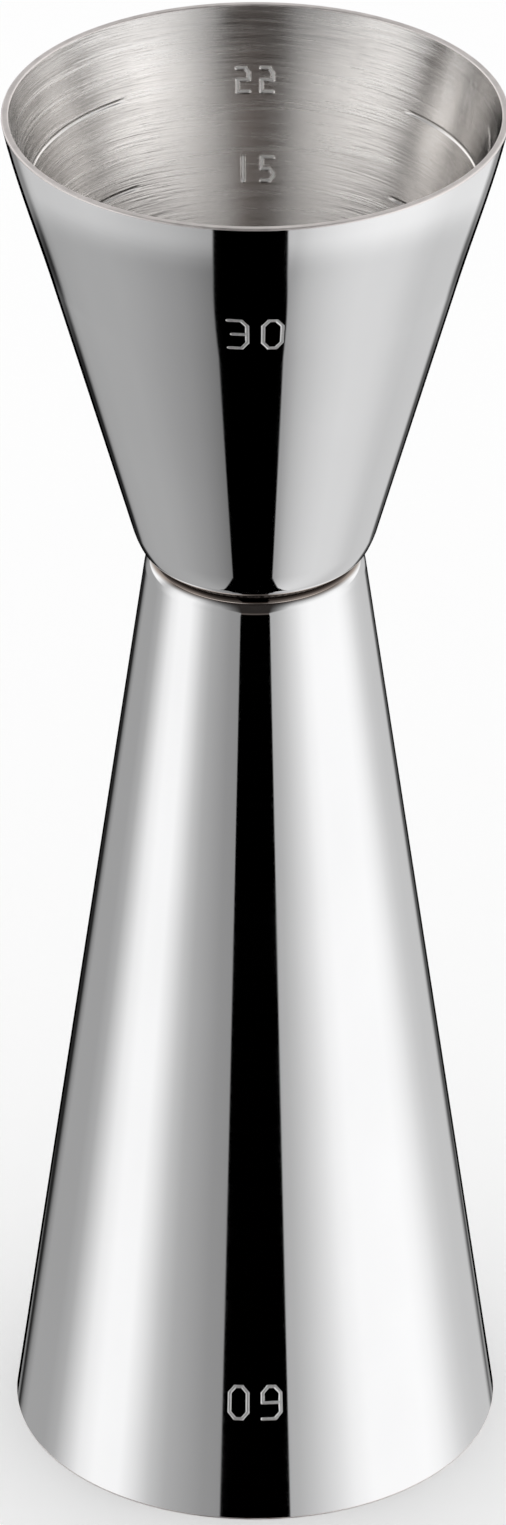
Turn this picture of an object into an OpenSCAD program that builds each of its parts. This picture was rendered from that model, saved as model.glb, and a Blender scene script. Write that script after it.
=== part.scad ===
// Double-ended bar jigger: a 1 oz cup and a 2 oz cup, drawn from sheet steel and welded foot to foot.
// The part stands on the rim of its large cup, with the middle of that rim at the origin and +Z up.

/* [Sheet] */
// Thickness of the sheet steel
wall = 0.6; // [0.5:0.1:0.8]
// Diameter at which each wall meets the plane of its rim, before the lip is rounded
rim_d = 42.4; // [40:0.1:46]
// Radius of the two rounded edges of each lip
lip_r = 0.15; // [0.1:0.01:0.2]

/* [Small cup] */
// Height from the seam to the rim
small_h = 41.3; // [36:0.1:46]
// Diameter at which the wall would meet the seam, before the corner is rounded
small_foot_d = 19.4; // [18.6:0.1:21]
// Outer radius of the foot's corner
small_corner_r = 2.25; // [1.8:0.05:2.6]
// Outer radius of the gentle curve between the wall and the corner
small_ease_r = 9.5; // [3:0.5:12]

/* [Large cup] */
// Height from the seam to the rim
large_h = 85.2; // [78:0.1:92]
// Diameter at which the wall would meet the seam, before the corner is rounded
large_foot_d = 18.5; // [18:0.1:20]
// Outer radius of the foot's corner
large_corner_r = 1.5; // [1.2:0.05:2]
// Outer radius of the gentle curve between the wall and the corner
large_ease_r = 1.8; // [1.8:0.1:4]

/* [Seam weld] */
// How far past the flat of the feet the weld metal starts
weld_start = 0.35; // [0.3:0.05:0.4]
// How far past the flat of the feet the weld metal ends
weld_end = 0.6; // [0.5:0.05:0.7]

/* [Graduations] */
// Volume of one fluid ounce in cubic millimetres
ounce = 29574; // [28413:1:30000]
// Volumes marked inside the small cup, in ounces
small_marks = [0.5, 0.75];
// Volumes marked inside the large cup, in ounces
large_marks = [1.5];
// Depth of a marked line
line_depth = 0.08; // [0.05:0.01:0.2]
// Radius of the tool that presses a line
line_tool_r = 0.25; // [0.2:0.05:0.8]
// Angle between the back of the cup and the start of a line
line_start = 40; // [30:1:50]
// Angle that a line runs round the cup
line_sweep = 100; // [60:1:110]

/* [Hidden] */
$fn = 96;
back = 90;
// Slope of the outer face below the horizontal where the gentle curve meets the corner
ease_angle = 26;
// How many flats stand for each rounded stretch of the section
corner_steps = 12;
ease_steps = 5;
lip_steps = 6;
steel = [0.78, 0.78, 0.77];
weld_steel = [0.45, 0.45, 0.45];

// A cup in its own frame stands on its foot at z = 0 and opens upward.
// Its wall leans outward by this angle.
function lean(h, foot_d) = atan((rim_d - foot_d) / 2 / h);

// Height of the middle of the gentle curve, and the height at which that curve leaves the wall
function ease_z(corner_r, ease_r) = corner_r + (ease_r - corner_r) * sin(ease_angle);
function wall_z(h, foot_d, corner_r, ease_r) =
    ease_z(corner_r, ease_r) - ease_r * sin(lean(h, foot_d));

// Distance from the axis to the middle of the gentle curve, and to the middle of the corner
function ease_x(h, foot_d, corner_r, ease_r) =
    foot_d / 2 + wall_z(h, foot_d, corner_r, ease_r) * tan(lean(h, foot_d))
    - ease_r * cos(lean(h, foot_d));
function corner_x(h, foot_d, corner_r, ease_r) =
    ease_x(h, foot_d, corner_r, ease_r) + (ease_r - corner_r) * cos(ease_angle);

// Distance from the axis to the inner face of the wall at height z
function inner_x(h, foot_d, z) =
    rim_d / 2 - (h - z) * tan(lean(h, foot_d)) - wall / cos(lean(h, foot_d));

// Height above the foot at which the cup holds this volume
function fill_z(h, foot_d, volume) =
    let (floor_x = inner_x(h, foot_d, wall), slope = tan(lean(h, foot_d)))
    wall + (pow(pow(floor_x, 3) + 3 * slope * volume / PI, 1 / 3) - floor_x) / slope;

// Points on a circle about [x, z], from one angle to another
function arc(x, z, r, first, last, steps) =
    [for (i = [0:steps]) let (t = first + (last - first) * i / steps) [x + r * cos(t), z + r * sin(t)]];

// Half of the section through a cup, from the middle of its foot round to the middle of its floor
module cup_section(h, foot_d, corner_r, ease_r) {
    a = lean(h, foot_d);
    cx = corner_x(h, foot_d, corner_r, ease_r);
    ex = ease_x(h, foot_d, corner_r, ease_r);
    ez = ease_z(corner_r, ease_r);
    lip_z = h - lip_r;
    lip_out = rim_d / 2 - lip_r * tan(a) - lip_r / cos(a);
    lip_in = inner_x(h, foot_d, lip_z) + lip_r / cos(a);
    polygon(concat(
        [[0, 0]],
        arc(cx, corner_r, corner_r, -90, -ease_angle, corner_steps),
        arc(ex, ez, ease_r, -ease_angle, -a, ease_steps),
        arc(lip_out, lip_z, lip_r, -a, 90, lip_steps),
        arc(lip_in, lip_z, lip_r, 90, 180 - a, lip_steps),
        arc(ex, ez, ease_r - wall, -a, -ease_angle, ease_steps),
        arc(cx, corner_r, corner_r - wall, -ease_angle, -90, corner_steps),
        [[0, wall]]
    ));
}

module small_section() {
    cup_section(small_h, small_foot_d, small_corner_r, small_ease_r);
}

module large_section() {
    cup_section(large_h, large_foot_d, large_corner_r, large_ease_r);
}

// Two shallow grooves at one height, one on each side of the cup
module marked_line(x, z) {
    for (first = [back + line_start, back - line_start - line_sweep])
        rotate([0, 0, first]) rotate_extrude(angle = line_sweep)
            translate([x + line_depth - line_tool_r, z]) circle(r = line_tool_r);
}

// A cup turned from its section, with its lines pressed in
module cup(h, foot_d, marks) {
    difference() {
        rotate_extrude() children();
        for (mark = marks) {
            z = fill_z(h, foot_d, mark * ounce);
            marked_line(inner_x(h, foot_d, z), z);
        }
    }
}

module small_cup() {
    color(steel) translate([0, 0, large_h])
        cup(small_h, small_foot_d, small_marks) small_section();
}

module large_cup() {
    color(steel) translate([0, 0, large_h]) mirror([0, 0, 1])
        cup(large_h, large_foot_d, large_marks) large_section();
}

// The weld metal fills the crease between the two rounded feet, out to weld_end.
module seam_weld() {
    flat_x = max(
        corner_x(small_h, small_foot_d, small_corner_r, small_ease_r),
        corner_x(large_h, large_foot_d, large_corner_r, large_ease_r)
    );
    color(weld_steel) translate([0, 0, large_h]) rotate_extrude() difference() {
        translate([flat_x + weld_start, -wall / 2]) square([weld_end - weld_start, wall]);
        small_section();
        mirror([0, 1]) large_section();
    }
}

small_cup();
large_cup();
seam_weld();
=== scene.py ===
"""A double-ended bar jigger in polished steel, on a pale floor in soft studio light.

Lengths are in millimetres and angles in degrees, and become metres and radians where Blender is
called. A place on a cup is given by its angle round the cup, 0 at the front (-Y) and 90 at the
right (+X), and by its height above the cup's foot, which is the seam between the two cups.
"""
import math
import bpy
import numpy as np
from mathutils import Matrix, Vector
from mathutils.geometry import delaunay_2d_cdt


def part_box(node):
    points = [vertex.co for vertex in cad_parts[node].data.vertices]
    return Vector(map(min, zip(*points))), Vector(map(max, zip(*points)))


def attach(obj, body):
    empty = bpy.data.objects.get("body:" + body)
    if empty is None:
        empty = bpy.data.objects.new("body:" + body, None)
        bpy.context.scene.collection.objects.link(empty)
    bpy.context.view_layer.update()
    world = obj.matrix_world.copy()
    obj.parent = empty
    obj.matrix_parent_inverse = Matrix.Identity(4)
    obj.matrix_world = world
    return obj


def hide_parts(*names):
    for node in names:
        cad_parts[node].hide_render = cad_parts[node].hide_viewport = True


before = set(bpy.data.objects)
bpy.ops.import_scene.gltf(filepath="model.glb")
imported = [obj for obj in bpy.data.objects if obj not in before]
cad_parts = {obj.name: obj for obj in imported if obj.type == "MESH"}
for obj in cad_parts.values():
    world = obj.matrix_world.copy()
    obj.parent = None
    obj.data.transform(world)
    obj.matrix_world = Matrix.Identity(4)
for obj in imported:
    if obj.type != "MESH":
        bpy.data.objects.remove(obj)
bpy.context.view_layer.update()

MM = 0.001

# ---------------------------------------------------------------- sizes, as in the CAD model
SEAM_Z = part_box("large_cup")[1].z / MM
TOP_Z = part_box("small_cup")[1].z / MM
WALL = 0.6
RIM_R = 21.2
LIP_R = 0.15
SMALL_FOOT_R, SMALL_CORNER_R, SMALL_EASE_R = 9.7, 2.25, 9.5
LARGE_FOOT_R, LARGE_CORNER_R, LARGE_EASE_R = 9.25, 1.5, 1.8
EASE_ANGLE = 26
WELD_START, WELD_END = 0.35, 0.6
OUNCE = 29574
LINE_DEPTH, LINE_TOOL_R = 0.08, 0.25
LINE_SWEEP = 100
BACK = 180

# ---------------------------------------------------------------- sizes that only the looks have
# The stamped lines sit a touch crooked: (angle from the back where they start, drop) on each side
LINE_RIGHT, LINE_LEFT = (42.5, 0.4), (35.5, 0.12)
# Angle over which a line reaches its full depth
LINE_RAMP = 3
# Under the small cup's rim the outer face is this much steeper, over this height
RIM_TURN, RIM_SPAN = 0.07, 14.0
# How far the painted shade round the seam reaches onto the sheet
SEAM_SHADE_REACH = 1.5
# Distances from the seam between which the painted shade deep inside a cup fades from darkest to none
SHADE_DEEPEST, SHADE_GONE = 16, 36

# ---------------------------------------------------------------- fineness of the meshes
COLUMNS = 360
ROW_STEP = 1.5
CORNER_STEPS = 16
EASE_STEPS = 8
LIP_STEPS = 5
PEN_STEPS = 9
BEVEL_STEPS = 4
# Where the ring of points on a foot's flat lies, as a part of its radius
FOOT_RING = 0.6
# Rows of points across a pressed line, as parts of its half width
GROOVE_ROWS = (-1.3, -1, -0.8, -0.5, 0, 0.5, 0.8, 1, 1.3)
# Plain wall kept round a number's patch, and round each of its strokes
PATCH_MARGIN, STROKE_MARGIN = 0.5, 0.25
# Distance of the loop that ends a stroke's relief from the stroke's edge
RELIEF_MARGIN = 0.06
# Steps over which the slopes of the marks and of the lines are taken
MARK_NUDGE, LINE_NUDGE = 0.008, 0.01

# ---------------------------------------------------------------- material slots on a cup
POLISHED, LIP, BRUSHED, ETCHED = range(4)


# ================================================================ numbers
# Plain numbers in millilitres, on a unit box. A figure is straight strokes through its points.
FIGURES = {
    "0": [[(0.3, 0), (0, 0.2), (0, 0.8), (0.3, 1), (0.7, 1), (1, 0.8), (1, 0.2), (0.7, 0), (0.3, 0)]],
    "1": [[(0.5, 0), (0.5, 1)]],
    "2": [[(0, 1), (0.7, 1), (1, 0.8), (1, 0.5), (0, 0.5), (0, 0), (1, 0)]],
    "3": [[(0, 1), (0.7, 1), (1, 0.8), (1, 0.2), (0.7, 0), (0, 0)], [(0.2, 0.5), (1, 0.5)]],
    "4": [[(0, 1), (0, 0.4), (1, 0.4)], [(1, 1), (1, 0)]],
    "5": [[(1, 1), (0, 1), (0, 0.5), (0.7, 0.5), (1, 0.35), (1, 0.2), (0.7, 0), (0, 0)]],
    "6": [[(1, 1), (0.3, 1), (0, 0.8), (0, 0.2), (0.3, 0), (0.7, 0), (1, 0.2), (1, 0.5), (0, 0.5)]],
}
FIGURE_WIDTH, FIGURE_GAP = 0.55, 0.3  # as parts of the height


class Label:
    """A number on a wall, as strokes in millimetres with its middle at the origin."""

    def __init__(self, number, angle, height, tall, pen, depth, bevel, opens, inside):
        # opens is 1 for the cup that opens upwards and -1 for the one that opens downwards.
        self.angle, self.height, self.pen, self.depth, self.bevel = angle, height, pen, depth, bevel
        pitch = (FIGURE_WIDTH + FIGURE_GAP) * tall
        width = FIGURE_WIDTH * tall
        self.half_w, self.half_h = (pitch * (len(number) - 1) + width) / 2, tall / 2
        across = -opens if inside else opens  # which way the angle grows, as the number is read
        self.strokes = []
        for n, figure in enumerate(number):
            for line in FIGURES[figure]:
                place = np.array(line, float) * (width - pen, tall - pen) + pen / 2
                place += (n * pitch - self.half_w, -self.half_h)
                place[:, 0] *= across
                self.strokes += list(zip(place[:-1], place[1:]))

    def distance(self, points):
        """Distance from each point to the nearest pen stroke's centre line."""
        best = np.full(len(points), np.inf)
        for a, b in self.strokes:
            along = b - a
            t = np.clip((points - a) @ along / (along @ along), 0, 1)
            gap = points - a - t[:, None] * along
            best = np.minimum(best, np.hypot(gap[:, 0], gap[:, 1]))
        return best

    def relief(self, points):
        """Depth of the marking at each point: a flat floor with rounded sides."""
        inward = (self.pen / 2 - self.distance(points)) / self.bevel
        return self.depth * np.sin(np.clip(inward, 0, 1) * math.pi / 2)

    def gradient(self, points, nudge):
        """Slope of the relief in the direction of a small step."""
        rise = self.relief(points + nudge) - self.relief(points - np.array(nudge))
        return rise / max(nudge) / 2

    def outlines(self, reach):
        """A closed loop round each stroke at one distance from it."""
        loops = []
        for a, b in self.strokes:
            heading = math.atan2(b[1] - a[1], b[0] - a[0])
            halves = []
            for end, start in ((b, heading - math.pi / 2), (a, heading + math.pi / 2)):
                turn = start + np.linspace(0, math.pi, PEN_STEPS)
                halves.append(end + reach * np.stack([np.cos(turn), np.sin(turn)], 1))
            loops.append(np.concatenate(halves))
        return loops


# ================================================================ one cup
class Section:
    """Half of the section through a cup, from the middle of its foot round to the middle of its floor."""

    def __init__(self, height, foot_r, corner_r, ease_r, rim_turn=0.0):
        # rim_turn is how much steeper than the cone the outer face stands at the rim, as a slope.
        self.height, self.corner_r, self.ease_r, self.rim_turn = height, corner_r, ease_r, rim_turn
        self.lean = math.atan((RIM_R - foot_r) / height)
        self.sin, self.cos, self.tan = math.sin(self.lean), math.cos(self.lean), math.tan(self.lean)
        ease = math.radians(EASE_ANGLE)
        self.ease_h = corner_r + (ease_r - corner_r) * math.sin(ease)
        self.wall_start = self.ease_h - ease_r * self.sin
        self.ease_x = foot_r + self.wall_start * self.tan - ease_r * self.cos
        self.corner_x = self.ease_x + (ease_r - corner_r) * math.cos(ease)

    def cone_r(self, height):
        return RIM_R - (self.height - height) * self.tan

    def outer_r(self, height):
        """Radius of the outer face: the cone, with a very slight swell under a rim that was trued up."""
        u = max(0.0, 1 - (self.height - height) / RIM_SPAN)
        return self.cone_r(height) + self.rim_turn * RIM_SPAN * u * u * (1 - u)

    def outer_normal(self, height):
        u = max(0.0, 1 - (self.height - height) / RIM_SPAN)
        slope = math.atan(self.tan + self.rim_turn * (2 * u - 3 * u * u))
        return math.cos(slope), -math.sin(slope)

    def inner_r(self, height):
        return self.cone_r(height) - WALL / self.cos

    def fill_height(self, volume):
        """Height above the foot at which the cup holds this volume."""
        floor_r = self.inner_r(WALL)
        return WALL + ((floor_r ** 3 + 3 * self.tan * volume / math.pi) ** (1 / 3) - floor_r) / self.tan

    def stations(self, outer_rows, inner_rows):
        """Rows of the lathe: (radius, height, normal's r, normal's h, slot of the face that follows)."""
        rows = [(0, 0, 0, -1, POLISHED), (self.corner_x * FOOT_RING, 0, 0, -1, POLISHED)]

        def arc(cx, cy, r, first, last, steps, slot, inward=False):
            sign = -1 if inward else 1
            for a in np.radians(np.linspace(first, last, steps + 1)):
                c, s = math.cos(a), math.sin(a)
                rows.append((cx + r * c, cy + r * s, sign * c, sign * s, slot))

        lean = math.degrees(self.lean)
        rim_lean = math.degrees(math.atan(self.tan - self.rim_turn))
        corner, ease = (self.corner_x, self.corner_r), (self.ease_x, self.ease_h)
        arc(*corner, self.corner_r, -90, -EASE_ANGLE, CORNER_STEPS, POLISHED)
        rows.pop()
        arc(*ease, self.ease_r, -EASE_ANGLE, -lean, EASE_STEPS, POLISHED)
        for h in outer_rows:
            rows.append((self.outer_r(h), h, *self.outer_normal(h), POLISHED))
        lip_h = self.height - LIP_R
        arc(self.cone_r(lip_h) - LIP_R / self.cos, lip_h, LIP_R, -rim_lean, 90, LIP_STEPS, LIP)
        arc(self.inner_r(lip_h) + LIP_R / self.cos, lip_h, LIP_R, 90, 180 - lean, LIP_STEPS, LIP)
        rows[-1] = rows[-1][:4] + (BRUSHED,)
        for h in inner_rows[::-1]:
            rows.append((self.inner_r(h), h, -self.cos, self.sin, BRUSHED))
        arc(*ease, self.ease_r - WALL, -lean, -EASE_ANGLE, EASE_STEPS, BRUSHED, True)
        rows.pop()
        arc(*corner, self.corner_r - WALL, -EASE_ANGLE, -90, CORNER_STEPS, BRUSHED, True)
        rows += [(self.corner_x * FOOT_RING, WALL, 0, 1, BRUSHED), (0, WALL, 0, 1, BRUSHED)]
        return rows


def row_heights(low, high, needed):
    """Evenly spaced heights between two limits, with the needed ones put in and near ones left out."""
    steps = round((high - low) / ROW_STEP)
    even = [low + (high - low) * i / steps for i in range(steps + 1)][1:-1]
    kept = [h for h in even if min([abs(h - n) for n in needed] + [ROW_STEP]) > ROW_STEP / 3]
    return sorted(kept + list(needed))


def line_depth(angle, height, line_heights):
    """Depth of the pressed capacity lines at each place inside a cup."""
    from_back = (BACK - angle + 180) % 360 - 180
    depth = np.zeros_like(angle)
    for side, (start, drop) in ((1, LINE_RIGHT), (-1, LINE_LEFT)):
        along = from_back * side
        ramp = np.clip(np.minimum(along - start, start + LINE_SWEEP - along) / LINE_RAMP, 0, 1)
        for h in line_heights:
            across = np.clip(np.abs(height - h + drop) / LINE_TOOL_R, 0, 1)
            groove = LINE_TOOL_R * np.sqrt(1 - across ** 2) - (LINE_TOOL_R - LINE_DEPTH)
            depth = np.maximum(depth, np.clip(groove, 0, None) * ramp)
    return depth


class CupMesh:
    """Builds the mesh of one cup: a lathe with patches for the numbers let into its walls."""

    def __init__(self, section, foot_z, up, outer_label, inner_labels, line_volumes):
        self.section, self.foot_z, self.up = section, foot_z, up
        self.lines = [section.fill_height(v) for v in line_volumes]
        self.angle, self.r, self.h, self.normal = [], [], [], []
        self.faces, self.slots = [], []
        labels = [(outer_label, False)] + [(label, True) for label in inner_labels]
        needed = {False: [], True: []}
        for label, inside in labels:
            for side in (-1, 1):
                needed[inside].append(label.height + side * self.patch_half(label) * section.cos)
        reach = math.sqrt(LINE_TOOL_R ** 2 - (LINE_TOOL_R - LINE_DEPTH) ** 2)
        for h in self.lines:
            for _, drop in (LINE_RIGHT, LINE_LEFT):
                needed[True] += [h - drop + reach * f for f in GROOVE_ROWS]
        low, high = section.wall_start, section.height - LIP_R * (1 + section.sin)
        self.rows = section.stations(
            row_heights(low, high, needed[False]), row_heights(low, high, needed[True])
        )
        self.lathe()
        for label, inside in labels:
            self.let_in(label, inside)

    @staticmethod
    def patch_half(label):
        return label.half_h + PATCH_MARGIN

    def lathe(self):
        step = 360 / COLUMNS
        self.first = []
        for r, h, nr, nh, slot in self.rows:
            self.first.append(len(self.r))
            for k in range(COLUMNS if r > 0 else 1):
                self.angle.append(k * step)
                self.r.append(r)
                self.h.append(h)
                self.normal.append((nr, nh))
        self.depth = [0.0] * len(self.r)
        self.slope = [(0.0, 0.0)] * len(self.r)
        self.quads = {}
        for i in range(len(self.rows) - 1):
            a, b = self.first[i], self.first[i + 1]
            slot = self.rows[i][4]
            for k in range(COLUMNS):
                n = (k + 1) % COLUMNS
                if self.rows[i][0] == 0:
                    self.quads[i, k] = ((a, b + k, b + n), slot)
                elif self.rows[i + 1][0] == 0:
                    self.quads[i, k] = ((a + k, a + n, b), slot)
                else:
                    self.quads[i, k] = ((a + k, a + n, b + n, b + k), slot)

    def let_in(self, label, inside):
        """Replaces the wall's quads behind a number by triangles that carry its relief."""
        section = self.section
        radius = (section.inner_r if inside else section.outer_r)(label.height)
        step = 360 / COLUMNS
        half_turn = math.degrees((label.half_w + PATCH_MARGIN) / radius)
        k0 = math.floor((label.angle - half_turn) / step)
        k1 = math.ceil((label.angle + half_turn) / step)
        half = self.patch_half(label) * section.cos
        rows = [
            i
            for i, (r, h, nr, nh, slot) in enumerate(self.rows)
            if abs(h - label.height) < half + 1e-6 and (nr < 0) == inside
        ]
        slot = BRUSHED if inside else POLISHED

        def flat(k, h):
            return math.radians(k * step - label.angle) * radius, (h - label.height) / section.cos

        points, source = [], []
        for i in rows:
            for k in range(k0, k1 + 1):
                edge = i in (rows[0], rows[-1]) or k in (k0, k1)
                p = flat(k, self.rows[i][1])
                if edge or label.distance(np.array([p]))[0] > label.pen / 2 + STROKE_MARGIN:
                    points.append(p)
                    source.append(self.first[i] + k % COLUMNS)
        edges = []
        reaches = [label.pen / 2 + RELIEF_MARGIN]
        reaches += [label.pen / 2 - label.bevel * f / BEVEL_STEPS for f in range(BEVEL_STEPS + 1)]
        for reach in reaches:
            for loop in label.outlines(max(reach, 0.01)):
                start, count = len(points), len(loop)
                points += [tuple(p) for p in loop]
                source += [None] * count
                edges += [(start + j, start + (j + 1) % count) for j in range(count)]
        verts, _, triangles, origin, _, _ = delaunay_2d_cdt(
            [Vector(p) for p in points], edges, [], 0, 1e-5
        )
        flat_points = np.array([tuple(v) for v in verts])
        depth = label.relief(flat_points)
        grad_u = label.gradient(flat_points, (MARK_NUDGE, 0))
        grad_s = label.gradient(flat_points, (0, MARK_NUDGE))
        index = []
        wall_r = section.inner_r if inside else section.outer_r
        for j, (u, s) in enumerate(flat_points):
            known = [source[o] for o in origin[j] if source[o] is not None]
            if known:
                index.append(known[0])
                continue
            index.append(len(self.r))
            h = label.height + s * section.cos
            self.angle.append(label.angle + math.degrees(u / radius))
            self.r.append(wall_r(h))
            self.h.append(h)
            self.normal.append((-section.cos, section.sin) if inside else section.outer_normal(h))
            self.depth.append(float(depth[j]))
            self.slope.append((float(grad_u[j]), float(grad_s[j])))
        for i in range(min(rows), max(rows)):
            for k in range(k0, k1):
                del self.quads[i, k % COLUMNS]
        middles = np.array([flat_points[list(t)].mean(0) for t in triangles])
        floor_half = label.pen / 2 - (label.bevel / 2 if inside else 0)
        for t, etched in zip(triangles, label.distance(middles) < floor_half):
            self.faces.append(tuple(index[j] for j in t))
            self.slots.append(ETCHED if etched else slot)

    def build(self, name, materials):
        angle, r, h = (np.array(v, float) for v in (self.angle, self.r, self.h))
        normal, slope = np.array(self.normal, float), np.array(self.slope, float)
        inner_wall = np.isclose(normal[:, 0], -self.section.cos)
        nudge = LINE_NUDGE

        def lines_at(da, dh):
            return np.where(inner_wall, line_depth(angle + da, h + dh * self.section.cos, self.lines), 0)

        depth = np.array(self.depth) + lines_at(0, 0)
        da = np.degrees(nudge / np.maximum(r, 1))
        slope[:, 0] += (lines_at(da, 0) - lines_at(-da, 0)) / nudge / 2
        slope[:, 1] += (lines_at(0, nudge) - lines_at(0, -nudge)) / nudge / 2
        turn = np.radians(angle)
        out = np.stack([np.sin(turn), -np.cos(turn), np.zeros_like(turn)], 1)
        round_ = np.stack([np.cos(turn), np.sin(turn), np.zeros_like(turn)], 1)
        axis = np.array([0, 0, self.up])
        normals = normal[:, :1] * out + normal[:, 1:] * axis
        along_wall = self.section.sin * out + self.section.cos * axis
        places = (r - depth * normal[:, 0])[:, None] * out + (h - depth * normal[:, 1])[:, None] * axis
        places[:, 2] += self.foot_z
        normals = normals + slope[:, :1] * round_ + slope[:, 1:] * along_wall
        normals /= np.linalg.norm(normals, axis=1)[:, None]

        faces = [quad for quad, _ in self.quads.values()] + self.faces
        slots = [slot for _, slot in self.quads.values()] + self.slots
        for n, face in enumerate(faces):
            a, b, c = (places[i] for i in face[:3])
            if np.dot(np.cross(b - a, c - a), normals[list(face)].sum(0)) < 0:
                faces[n] = face[::-1]
        used = sorted({i for face in faces for i in face})
        place_of = {old: new for new, old in enumerate(used)}
        mesh = bpy.data.meshes.new(name)
        mesh.from_pydata(
            (places[used] * MM).tolist(), [], [[place_of[i] for i in face] for face in faces]
        )
        mesh.polygons.foreach_set("material_index", slots)
        mesh.polygons.foreach_set("use_smooth", [True] * len(faces))
        for material in materials:
            mesh.materials.append(material)
        mesh.update()
        mesh.normals_split_custom_set_from_vertices(normals[used].tolist())
        piece = bpy.data.objects.new(name, mesh)
        bpy.context.scene.collection.objects.link(piece)
        return piece


# ================================================================ materials
class Nodes:
    """A short way to write a node tree."""

    def __init__(self, tree):
        self.tree = tree
        tree.nodes.clear()

    def add(self, kind, inputs=None, **settings):
        node = self.tree.nodes.new(kind)
        for key, value in settings.items():
            setattr(node, key, value)
        for key, value in (inputs or {}).items():
            self.feed(node.inputs[key], value)
        return node

    def feed(self, socket, value):
        if isinstance(value, bpy.types.NodeSocket):
            self.tree.links.new(value, socket)
        else:
            socket.default_value = value

    def math(self, operation, *values, clamp=False):
        node = self.add("ShaderNodeMath", dict(enumerate(values)), operation=operation, use_clamp=clamp)
        return node.outputs[0]

    def smooth(self, value, low, high, to_low=0.0, to_high=1.0):
        node = self.add(
            "ShaderNodeMapRange",
            {"Value": value, "From Min": low, "From Max": high, "To Min": to_low, "To Max": to_high},
            interpolation_type="SMOOTHSTEP",
        )
        return node.outputs["Result"]

    def mix(self, share, first, second):
        """A colour between two, first at share 0 and second at share 1."""
        node = self.add("ShaderNodeMix", {"Factor": share}, data_type="RGBA")
        self.feed(node.inputs[6], first)
        self.feed(node.inputs[7], second)
        return node.outputs[2]

    def blend(self, kind, first, second):
        """Two colours multiplied or added, or a colour and a number."""
        node = self.add("ShaderNodeMix", {"Factor": 1.0}, data_type="RGBA", blend_type=kind)
        self.feed(node.inputs[6], first)
        self.feed(node.inputs[7], second)
        return node.outputs[2]

    def ramp(self, value, stops):
        """A colour ramp from (place, grey level or colour) stops."""
        node = self.add("ShaderNodeValToRGB", {"Fac": value})
        elements = node.color_ramp.elements
        while len(elements) < len(stops):
            elements.new(0.5)
        for element, (place, level) in zip(elements, stops):
            element.position = place
            element.color = (level,) * 3 + (1,) if isinstance(level, (int, float)) else (*level, 1)
        return node.outputs["Color"]

    def stretched(self, scale, lean=(0, 0), seed=0.0):
        """Object coordinates scaled apart per axis, with the rows leaned a little across X and Y."""
        place = self.add("ShaderNodeTexCoord").outputs["Object"]
        parts = self.add("ShaderNodeSeparateXYZ", {0: place}).outputs
        tilt = self.math("MULTIPLY_ADD", parts["X"], lean[0], self.math("MULTIPLY", parts["Y"], lean[1]))
        z = self.math("ADD", parts["Z"], tilt)
        joined = self.add(
            "ShaderNodeCombineXYZ",
            {
                "X": self.math("MULTIPLY_ADD", parts["X"], scale[0], seed),
                "Y": self.math("MULTIPLY", parts["Y"], scale[1]),
                "Z": self.math("MULTIPLY", z, scale[2]),
            },
        )
        return joined.outputs[0]

    def noise(self, vector, detail=2.0, roughness=0.5):
        node = self.add(
            "ShaderNodeTexNoise",
            {"Vector": vector, "Scale": 1.0, "Detail": detail, "Roughness": roughness},
        )
        return node.outputs["Fac"]


def new_material(name):
    material = bpy.data.materials.new(name)
    material.use_nodes = True
    return material, Nodes(material.node_tree)


def finish_metal(nodes, color, roughness, normal=None, anisotropic=0.0, tangent=None):
    shader = nodes.add(
        "ShaderNodeBsdfPrincipled",
        {"Base Color": color, "Metallic": 1.0, "Roughness": roughness, "Anisotropic": anisotropic},
    )
    shader.inputs["Anisotropic Rotation"].default_value = 0.25 if anisotropic else 0.0
    if normal is not None:
        nodes.feed(shader.inputs["Normal"], normal)
    if tangent is not None:
        nodes.feed(shader.inputs["Tangent"], tangent)
    nodes.add("ShaderNodeOutputMaterial", {"Surface": shader.outputs[0]})


# Painted shade across the seam, brown and dark, from below it (0) to above it (1), with clean steel at
# both ends
SEAM_SHADE_STOPS = [
    (0.22, 1.0), (0.31, (0.4, 0.34, 0.3)), (0.39, (0.12, 0.1, 0.09)), (0.54, (0.14, 0.115, 0.1)),
    (0.62, (0.75, 0.72, 0.7)), (0.67, 1.0),
]


def painted_seam_shade(nodes, color):
    """Painted shade in browns over the crease round the seam, strongest beside the seam."""
    place = nodes.add("ShaderNodeTexCoord").outputs["Object"]
    height = nodes.add("ShaderNodeSeparateXYZ", {0: place}).outputs["Z"]
    above_seam = nodes.math("SUBTRACT", height, SEAM_Z * MM)
    across = nodes.smooth(above_seam, -SEAM_SHADE_REACH * MM, SEAM_SHADE_REACH * MM)
    return nodes.blend("MULTIPLY", color, nodes.ramp(across, SEAM_SHADE_STOPS))


def polished_steel():
    """Mirror-polished sheet: faint buffing lines round the cup, a little haze that varies, and painted
    shade in the crease round the seam.
    """
    material, nodes = new_material("polished_steel")
    buffing = nodes.noise(nodes.stretched((40, 40, 2600)), detail=3.0)
    haze = nodes.noise(nodes.stretched((110, 110, 70), seed=3.0), detail=3.0)
    color = nodes.ramp(haze, [(0.3, (0.785, 0.785, 0.79)), (0.7, (0.81, 0.81, 0.815))])
    mixed = nodes.math("MULTIPLY_ADD", buffing, 0.4, nodes.math("MULTIPLY", haze, 0.6))
    roughness = nodes.smooth(mixed, 0.3, 0.7, 0.025, 0.06)
    bump = nodes.add(
        "ShaderNodeBump", {"Height": buffing, "Strength": 0.02, "Distance": 0.00002}
    ).outputs[0]
    # The colour carries painted shade in the crease round the seam.
    finish_metal(nodes, painted_seam_shade(nodes, color), roughness, bump)
    return material


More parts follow.
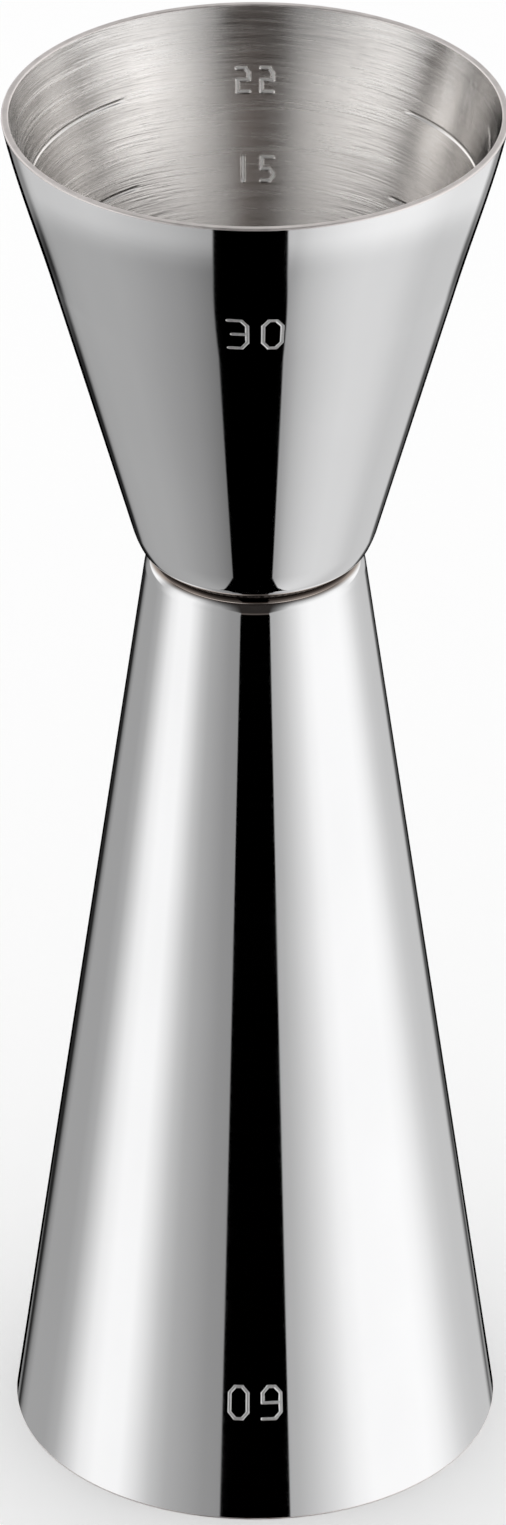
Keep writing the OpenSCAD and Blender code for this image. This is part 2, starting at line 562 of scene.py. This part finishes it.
def lip_steel_highlight_tint():
    """The rim's trimmed edge, tumbled smooth: softer than the wall, with a brighter, warmer colour that
    is a painted pinkish highlight.
    """
    material, nodes = new_material("lip_steel_highlight_tint")
    grain = nodes.noise(nodes.stretched((900, 900, 3000)), detail=3.0)
    # Brighter and warmer than the wall's steel: a painted highlight on the rim.
    color = nodes.ramp(grain, [(0.3, (0.84, 0.79, 0.77)), (0.7, (0.92, 0.87, 0.85))])
    roughness = nodes.smooth(grain, 0.3, 0.7, 0.4, 0.55)
    finish_metal(nodes, color, roughness)
    return material


# Sideways places, from 0 at the back to 1 at the side, between which the brush lines deepen and
# their colour contrast grows as a painted sheen where the lights fall, and between which they go
# from fresh to worn
DEPTH_AND_SHEEN_SIDES = (0.15, 0.6)
WORN_SIDE = (0.7, 0.84)


def sideways(nodes, place):
    """Sideways part of the level direction from the axis: -1 at the left, 1 at the right."""
    level = nodes.add("ShaderNodeVectorMath", {0: place, 1: (1, 1, 0)}, operation="MULTIPLY").outputs[0]
    heading = nodes.add("ShaderNodeVectorMath", {0: level}, operation="NORMALIZE").outputs[0]
    return nodes.add("ShaderNodeSeparateXYZ", {0: heading}).outputs["X"]


def brushed_steel():
    """The satin inside: fine brush lines run round the cup, in bundles that cross at small angles.

    Their bumps are cut deepest at the sides and lighter at the back and front, and their colour contrast
    is painted strongest at the sides as a painted sheen where the lights fall; one side is worn nearly
    smooth. Painted shade darkens the colour deep inside.
    """
    material, nodes = new_material("brushed_steel")
    fine = nodes.noise(nodes.stretched((70, 70, 5200), lean=(0.05, 0.02)), detail=4.0, roughness=0.6)
    long_lines = nodes.noise(
        nodes.stretched((45, 45, 2100), lean=(-0.06, 0.03), seed=7.0), detail=3.0, roughness=0.6
    )
    patches = nodes.noise(nodes.stretched((160, 160, 260), seed=11.0), detail=2.0)
    lines = nodes.math("MULTIPLY_ADD", fine, 0.5, nodes.math("MULTIPLY", long_lines, 0.5))
    place = nodes.add("ShaderNodeTexCoord").outputs["Object"]
    height = nodes.add("ShaderNodeSeparateXYZ", {0: place}).outputs["Z"]
    from_seam = nodes.math("ABSOLUTE", nodes.math("SUBTRACT", height, SEAM_Z * MM))
    aside = sideways(nodes, place)
    worn = nodes.smooth(nodes.math("MULTIPLY_ADD", patches, 0.1, aside), *WORN_SIDE)
    # strength sets both the depth of the brush lines' bumps and their colour contrast; the contrast is a
    # painted sheen, strongest at the sides where the lights fall.
    strength = nodes.smooth(nodes.math("ABSOLUTE", aside), *DEPTH_AND_SHEEN_SIDES, 0.4, 1.0)
    strength = nodes.math("MULTIPLY", strength, nodes.math("MULTIPLY_ADD", worn, -0.75, 1.0))
    mixed = nodes.math("MULTIPLY_ADD", lines, 0.8, nodes.math("MULTIPLY", patches, 0.2))
    from_mean = nodes.math("SUBTRACT", mixed, 0.5)
    color = nodes.ramp(
        nodes.math("MULTIPLY_ADD", from_mean, strength, 0.5),
        [(0.36, (0.55, 0.538, 0.528)), (0.5, (0.735, 0.72, 0.707)), (0.62, (0.93, 0.915, 0.9))],
    )
    # Painted shade: the colour darkens deeper inside the cup, towards the seam.
    level = nodes.smooth(from_seam, SHADE_DEEPEST * MM, SHADE_GONE * MM, 0.76, 1.0)
    color = nodes.blend("MULTIPLY", color, level)
    roughness = nodes.smooth(lines, 0.35, 0.65, 0.14, 0.3)
    roughness = nodes.math("MULTIPLY", roughness, nodes.math("MULTIPLY_ADD", worn, -0.5, 1.0))
    bump = nodes.add(
        "ShaderNodeBump", {"Height": lines, "Strength": strength, "Distance": 0.00006}
    ).outputs[0]
    tangent = nodes.add("ShaderNodeTangent", direction_type="RADIAL", axis="Z").outputs[0]
    finish_metal(nodes, color, roughness, bump, anisotropic=0.7, tangent=tangent)
    return material


def etched_steel():
    """The floor of a number's strokes: frosted, with a fine even grain."""
    material, nodes = new_material("etched_steel")
    grain = nodes.noise(nodes.stretched((9000, 9000, 9000)), detail=3.0, roughness=0.7)
    color = nodes.ramp(grain, [(0.3, (0.8, 0.795, 0.79)), (0.7, (0.95, 0.945, 0.94))])
    roughness = nodes.smooth(grain, 0.3, 0.7, 0.42, 0.58)
    bump = nodes.add(
        "ShaderNodeBump", {"Height": grain, "Strength": 0.4, "Distance": 0.00002}
    ).outputs[0]
    finish_metal(nodes, color, roughness, bump)
    return material


def weld_steel():
    """Weld metal: rippled along the bead, and dark partly in its own colour from the heat and partly by
    painted shade of the deep crease it lies in.
    """
    material, nodes = new_material("weld_steel")
    grain = nodes.noise(nodes.stretched((1500, 1500, 1500)), detail=3.0)
    # Dark browns: partly the weld's own colour, partly painted shade of the crease.
    color = nodes.ramp(grain, [(0.3, (0.10, 0.085, 0.075)), (0.7, (0.2, 0.18, 0.165))])
    roughness = nodes.smooth(grain, 0.3, 0.7, 0.3, 0.5)
    finish_metal(nodes, color, roughness)
    return material


CUP_MATERIALS = [polished_steel(), lip_steel_highlight_tint(), brushed_steel(), etched_steel()]


# ================================================================ the pieces
small = Section(TOP_Z - SEAM_Z, SMALL_FOOT_R, SMALL_CORNER_R, SMALL_EASE_R, RIM_TURN)
large = Section(SEAM_Z, LARGE_FOOT_R, LARGE_CORNER_R, LARGE_EASE_R)

def etched(number, height, opens):
    """A number etched on the outside of a cup, at the front."""
    return Label(number, 0, height, 3.4, 0.3, 0.04, 0.08, opens, False)


def stamped(number, height, opens):
    """A number pressed into the inside of a cup, at the back, level with its line."""
    return Label(number, BACK, height, 2.4, 0.36, 0.13, 0.15, opens, True)


half_h, three_quarters_h = (small.fill_height(OUNCE * v) for v in (0.5, 0.75))
one_and_half_h = large.fill_height(OUNCE * 1.5)

small_cup = CupMesh(
    small, SEAM_Z, 1, etched("30", 30, 1),
    [stamped("15", half_h, 1), stamped("22", three_quarters_h, 1)],
    [OUNCE * 0.5, OUNCE * 0.75],
).build("small_cup_steel", CUP_MATERIALS)
large_cup = CupMesh(
    large, SEAM_Z, -1, etched("60", 74, -1),
    [stamped("45", one_and_half_h, -1)],
    [OUNCE * 1.5],
).build("large_cup_steel", CUP_MATERIALS)


RIPPLES, RIPPLE_DEPTH, WELD_COLUMNS = 90, 0.012, 720
WELD_STEPS, BULGE_STEPS, BULGE = 4, 4, 0.02
WELD_IN = max(small.corner_x, large.corner_x) + WELD_START
WELD_OUT = max(small.corner_x, large.corner_x) + WELD_END


def weld_profile():
    """Section of the bead as (radius, height from the seam): it fills the gap between two corners."""

    def corner_gap(section, x):
        return section.corner_r - math.sqrt(section.corner_r ** 2 - (x - section.corner_x) ** 2)

    across = [WELD_IN + (WELD_OUT - WELD_IN) * n / WELD_STEPS for n in range(WELD_STEPS + 1)]
    top, low = corner_gap(small, WELD_OUT), -corner_gap(large, WELD_OUT)
    profile = [(x, corner_gap(small, x)) for x in across]
    for n in range(1, BULGE_STEPS):
        share = n / BULGE_STEPS
        profile.append((WELD_OUT + BULGE * math.sin(math.pi * share), top + (low - top) * share))
    return profile + [(x, -corner_gap(large, x)) for x in across[::-1]]


def weld_ring():
    """The bead of weld metal in the crease, with fine ripples."""
    verts, faces = [], []
    profile = weld_profile()
    count = len(profile)
    for k in range(WELD_COLUMNS):
        a = 2 * math.pi * k / WELD_COLUMNS
        ripple = RIPPLE_DEPTH * (math.sin(RIPPLES * a) - 1)
        for x, h in profile:
            r = x + ripple * max(0, (x - WELD_IN) / (WELD_OUT - WELD_IN))
            verts.append((r * math.sin(a) * MM, -r * math.cos(a) * MM, (SEAM_Z + h) * MM))
    for k in range(WELD_COLUMNS):
        n = (k + 1) % WELD_COLUMNS
        for i in range(count):
            j = (i + 1) % count
            faces.append((k * count + i, n * count + i, n * count + j, k * count + j))
    mesh = bpy.data.meshes.new("seam_weld_bead")
    mesh.from_pydata(verts, [], faces)
    mesh.polygons.foreach_set("use_smooth", [True] * len(faces))
    mesh.materials.append(weld_steel())
    mesh.update()
    piece = bpy.data.objects.new("seam_weld_bead", mesh)
    bpy.context.scene.collection.objects.link(piece)
    return piece


weld = weld_ring()

for piece, node, slot in (
    (small_cup, "small_cup", "polished_steel"),
    (large_cup, "large_cup", "polished_steel"),
    (weld, "seam_weld", "weld_metal"),
):
    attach(piece, "root")
    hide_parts(node)


# ================================================================ the studio
FLOOR_SIZE = 12.0
FLOOR_ALBEDO = 0.99

# Brightness round the horizon of three rings of the surroundings, as (azimuth, level or colour).
# Azimuth 0 is the camera's side, and 90 is its right. NEAR_RING is seen in the table top a little
# below the horizon, and by the outside above it too. DEEP_RING is seen steeply below the horizon.
# SKY_RING is what the insides see above it, by way of the opposite wall.
NEAR_RING = [
    (-180, 0.02), (-154, 0.02), (-146, 0.3), (-140, 0.41), (-118, 0.42), (-108, 0.5), (-98, 0.78),
    (-90, 1.03), (-80, 1.16), (-66, 1.15), (-58, 0.93), (-50, 0.66), (-42, 0.5), (-34, 0.43),
    (-24, 0.35), (-12, 0.32), (12, 0.48), (20, 0.54), (27, 0.66), (40, 0.92), (47, 1.08), (56, 1.18),
    (88, 1.2), (96, 1.13), (104, 1.0), (112, 0.84), (121, 0.72), (132, 0.66), (150, 0.62),
    (157, 0.1), (180, 0.02),
]
DEEP_RING = [
    (-180, 0.02), (-154, 0.02), (-148, 0.4), (-138, 0.43), (-120, 0.46), (-95, 0.46), (-80, 0.43),
    (-65, 0.38), (-50, 0.33), (-38, 0.27), (-24, 0.19), (-10, 0.18), (10, 0.38), (24, 0.4),
    (33, 0.56), (40, 0.64), (50, 0.73), (60, 0.79), (72, 0.83), (90, 0.82), (100, 0.78), (110, 0.71),
    (120, 0.67), (151, 0.7), (156, 0.1), (180, 0.02),
]
SKY_RING = [
    (-180, (0.17, 0.135, 0.12)), (-163, (0.28, 0.24, 0.22)), (-151, 0.54), (-136, 0.98), (-110, 1.4),
    (-90, 1.8), (-72, 2.05), (-50, 2.1), (-30, 2.0), (-16, 1.2), (-7, 0.5), (0, 0.25), (8, 0.25),
    (16, 0.6), (24, 1.35), (34, 2.1), (50, 2.2), (72, 2.25), (90, 2.0), (108, 1.45), (136, 0.75),
    (150, 0.3), (160, (0.12, 0.1, 0.09)), (180, (0.12, 0.095, 0.085)),
]
# Half the width of the dark gap, as a sideways part of the direction, by the slope below the horizon.
GAP_BELOW = [
    (0.0, 0.236), (0.22, 0.242), (0.31, 0.26), (0.5, 0.25), (0.85, 0.214), (0.96, 0.235), (1.0, 0.4),
]
# The table shines a little more where the wall just under the small cup's rim sees it, which
# leans less than the rest: by the sine of the wall's lean, from none to all, and to none again.
TABLE_GLOW, TABLE_GLOW_FROM, TABLE_GLOW_TO = 0.24, (-0.27, -0.222), (-0.1, -0.16)
VIEW_DOWN = 27.6
GAP_EDGE = 0.012
GAP_SHIFT_DEEP = -0.027
SKY_GAP, SKY_GAP_EDGE = 0.236, 0.3
GAP_GLOW = (0.03, 0.026, 0.024, 1)
HORIZON_GLOW = (0.12, 0.102, 0.092, 1)
# The light from behind the jigger, which its lips see: by the sideways part of the direction, and
# from none to all by its backward part
BEHIND_MIDDLE, BEHIND_SIDES = (0.45, 0.45, 0.45, 1), (1.2, 1.2, 1.2, 1)
BEHIND_ASIDE, BEHIND_BACK = (0.1, 0.7), (0.15, 0.5)
# Angles below the horizon between which the table goes from the near ring to the deep one
DEEP_FROM, DEEP_TO = 22, 48
# Upward parts of the direction between which one thing passes into the next: the black gap into the
# horizon's glow, the table into the lights and into the sky, a sharp gap into a soft one, no light
# overhead into all of it, and the whole sky into SKY_HIGH of it.
GLOW_RISE, TABLE_TO_LIGHTS, TABLE_TO_SKY = (-0.12, -0.01), (0.0, 0.1), (0.31, 0.39)
GAP_SOFTENS, LIGHTS_FADE, SKY_FADE = (0.0, 0.3), (1.0, 0.25), (0.5, 0.68)
SKY_HIGH = 0.75


def mirror_tilt(nodes, look):
    """Sine of the upward lean of a mirror that shows the camera what lies in each direction."""
    down = math.radians(VIEW_DOWN)
    towards_camera = (0, -math.cos(down), math.sin(down))
    between = nodes.add("ShaderNodeVectorMath", {0: look, 1: towards_camera}, operation="ADD").outputs[0]
    facing = nodes.add("ShaderNodeVectorMath", {0: between}, operation="NORMALIZE").outputs[0]
    return nodes.add("ShaderNodeSeparateXYZ", {0: facing}).outputs["Z"]


def table_light(nodes, look, rings, z, aside, deep_share):
    """The lights as the glossy table top shows them, with the dark gap between them."""
    table = nodes.mix(deep_share, *rings)
    tilt = mirror_tilt(nodes, look)
    glow = nodes.math(
        "MULTIPLY", nodes.smooth(tilt, *TABLE_GLOW_FROM), nodes.smooth(tilt, *TABLE_GLOW_TO)
    )
    table = nodes.blend("ADD", table, nodes.math("MULTIPLY", glow, TABLE_GLOW))
    gap_half = nodes.ramp(nodes.math("MULTIPLY", z, -1.0), GAP_BELOW)
    beyond = nodes.math("SUBTRACT", aside, gap_half)
    gap = nodes.mix(nodes.smooth(z, *GLOW_RISE), (0, 0, 0, 1), HORIZON_GLOW)
    return nodes.mix(nodes.smooth(beyond, -GAP_EDGE / 2, GAP_EDGE / 2), gap, table)


def high_light(nodes, near, y, z, aside):
    """What the outside sees above the horizon: the same lights, fading upwards, and a softer gap."""
    edge = nodes.smooth(z, *GAP_SOFTENS, GAP_EDGE, SKY_GAP_EDGE)
    lights = nodes.blend("MULTIPLY", near, nodes.smooth(z, *LIGHTS_FADE))
    beyond = nodes.math("SUBTRACT", aside, SKY_GAP)
    high = nodes.mix(nodes.math("DIVIDE", beyond, edge, clamp=True), GAP_GLOW, lights)
    behind = nodes.mix(nodes.smooth(aside, *BEHIND_ASIDE), BEHIND_MIDDLE, BEHIND_SIDES)
    return nodes.mix(nodes.smooth(y, *BEHIND_BACK), high, behind)


def studio_world():
    """Two broad soft lights, left and right, with a dark gap between them in the plane of the camera.

    Below the horizon they are seen in a glossy table top. The camera and the floor see plain white.
    """
    world = bpy.data.worlds.new("studio")
    bpy.context.scene.world = world
    world.use_nodes = True
    nodes = Nodes(world.node_tree)
    look = nodes.add("ShaderNodeTexCoord").outputs["Generated"]
    x, y, z = nodes.add("ShaderNodeSeparateXYZ", {0: look}).outputs
    azimuth = nodes.math("ARCTAN2", x, nodes.math("MULTIPLY", y, -1.0))
    place = nodes.math("MULTIPLY_ADD", azimuth, 0.5 / math.pi, 0.5)
    near, deep, sky = (
        nodes.ramp(place, [(a / 360 + 0.5, level) for a, level in ring])
        for ring in (NEAR_RING, DEEP_RING, SKY_RING)
    )
    below = nodes.math("MULTIPLY", z, -1.0)
    deep_slopes = (math.sin(math.radians(angle)) for angle in (DEEP_FROM, DEEP_TO))
    deep_share = nodes.smooth(below, *deep_slopes)
    aside = nodes.math("ABSOLUTE", nodes.math("MULTIPLY_ADD", deep_share, -GAP_SHIFT_DEEP, x))

    table = table_light(nodes, look, (near, deep), z, aside, deep_share)
    high = high_light(nodes, near, y, z, aside)
    outside = nodes.mix(nodes.smooth(z, *TABLE_TO_LIGHTS), table, high)
    sky = nodes.blend("MULTIPLY", sky, nodes.smooth(z, *SKY_FADE, 1.0, SKY_HIGH))
    inside = nodes.mix(nodes.smooth(z, *TABLE_TO_SKY), table, sky)

    path = nodes.add("ShaderNodeLightPath").outputs
    repeated = nodes.math("GREATER_THAN", path["Glossy Depth"], 1.5)  # from the second reflection on
    light = nodes.mix(repeated, outside, inside)
    seen = nodes.mix(path["Is Glossy Ray"], (1, 1, 1, 1), light)
    background = nodes.add("ShaderNodeBackground", {"Color": seen, "Strength": 1.0})
    nodes.add("ShaderNodeOutputWorld", {"Surface": background.outputs[0]})


def pale_floor():
    mesh = bpy.data.meshes.new("floor")
    half = FLOOR_SIZE / 2
    corners = [(-half, -half, 0), (half, -half, 0), (half, half, 0), (-half, half, 0)]
    mesh.from_pydata(corners, [], [(0, 1, 2, 3)])
    material, nodes = new_material("floor_white")
    shader = nodes.add("ShaderNodeBsdfDiffuse", {"Color": (FLOOR_ALBEDO,) * 3 + (1,)})
    nodes.add("ShaderNodeOutputMaterial", {"Surface": shader.outputs[0]})
    mesh.materials.append(material)
    floor = bpy.data.objects.new("floor", mesh)
    bpy.context.scene.collection.objects.link(floor)
    floor.visible_glossy = False


# The camera stands in front of the jigger and looks down at it by this angle through a long lens.
CAMERA_TILT = 30.0
CAMERA_DISTANCE = 799.6
CAMERA_HEIGHT = 525.8
LENS = 253.3
SENSOR = 36.0
SIDE_SHIFT = -0.185


def photo_camera():
    data = bpy.data.cameras.new("camera")
    data.sensor_width = SENSOR
    data.lens = LENS
    data.clip_start, data.clip_end = 0.01, 50
    camera = bpy.data.objects.new("camera", data)
    bpy.context.scene.collection.objects.link(camera)
    camera.location = (SIDE_SHIFT * MM, -CAMERA_DISTANCE * MM, CAMERA_HEIGHT * MM)
    camera.rotation_euler = (math.radians(90 - CAMERA_TILT), 0, 0)
    bpy.context.scene.camera = camera


studio_world()
pale_floor()
photo_camera()
bpy.context.scene.view_settings.view_transform = "Standard"
